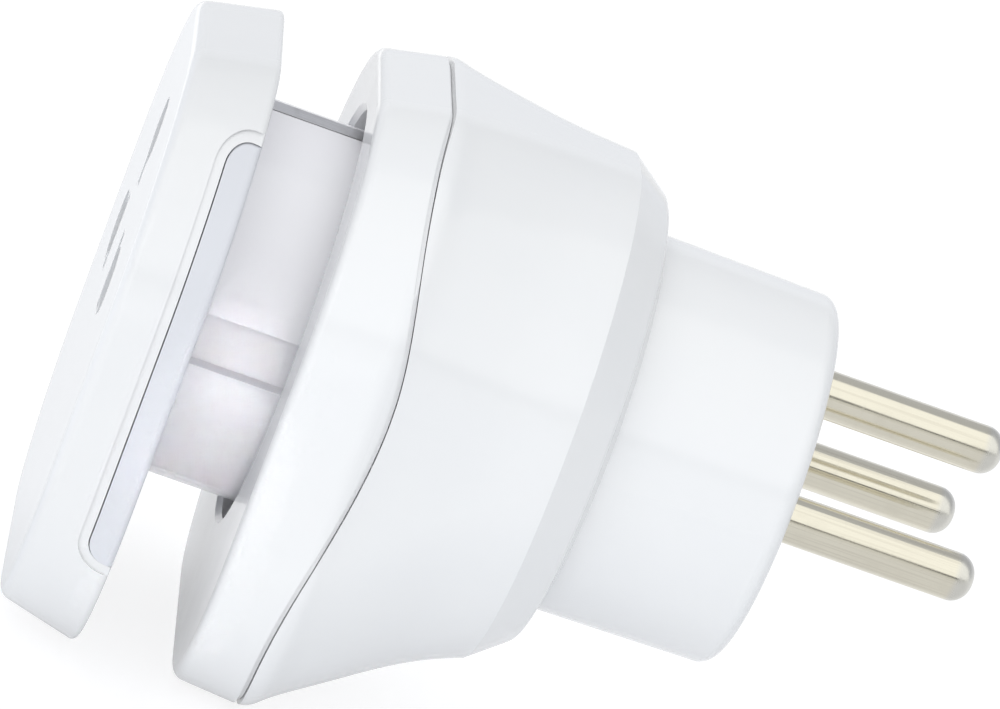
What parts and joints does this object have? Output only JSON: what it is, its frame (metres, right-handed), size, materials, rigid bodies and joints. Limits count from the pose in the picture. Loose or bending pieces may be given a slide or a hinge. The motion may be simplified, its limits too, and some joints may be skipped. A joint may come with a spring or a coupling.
{
  "type": "travel adapter",
  "caption": "Two-unit travel adapter: a flared base with round pins and a round recess, and a rounded-square plug unit that slides into it.",
  "frame": {"origin": "middle of the base's nose end face, which lies on the wall outlet", "axes": "+Y into the wall along the pins, +Z towards the earth pin, X along the line and neutral pins"},
  "size_m": [0.059, 0.0822, 0.0568],
  "materials": {
    "white_shell": "glossy moulded white, faintly cool",
    "nickel_pin": "bright nickel plate on turned brass",
    "inner_plastic": "plain moulded insulating plastic",
    "contact_brass": "stamped spring brass",
    "earth_strip": "nickel-plated steel strip, dull grey",
    "steel_fastener": "zinc-plated steel"
  },
  "bodies": {
    "base": {"base_front_cover": "white_shell", "base_rear_shell": "white_shell", "pin_line": "nickel_pin", "pin_neutral": "nickel_pin", "pin_earth": "nickel_pin", "pin_retainer": "inner_plastic", "contact_carrier": "inner_plastic", "contact_sleeve_line": "contact_brass", "contact_sleeve_neutral": "contact_brass", "earth_strap": "earth_strip", "earth_clip_upper": "earth_strip", "earth_clip_lower": "earth_strip", "earth_clip_rivets": "steel_fastener", "housing_screws": "steel_fastener"},
    "plug_unit": {"plug_front_cover": "white_shell", "plug_rear_cover": "white_shell", "plug_pin_line": "nickel_pin", "plug_pin_neutral": "nickel_pin", "plug_earth_yoke": "earth_strip", "socket_contact_line": "contact_brass", "socket_contact_neutral": "contact_brass", "socket_contact_earth": "contact_brass", "yoke_rivets": "steel_fastener", "plug_contact_carrier": "inner_plastic", "plug_carrier_screws": "steel_fastener", "plug_cover_screws": "steel_fastener"}
  },
  "joints": [
    {"name": "plug_slide", "type": "slide", "parent": "base", "child": "plug_unit", "axis": [0, -1, 0], "range_m": [-0.009, 0.0275]}
  ]
}
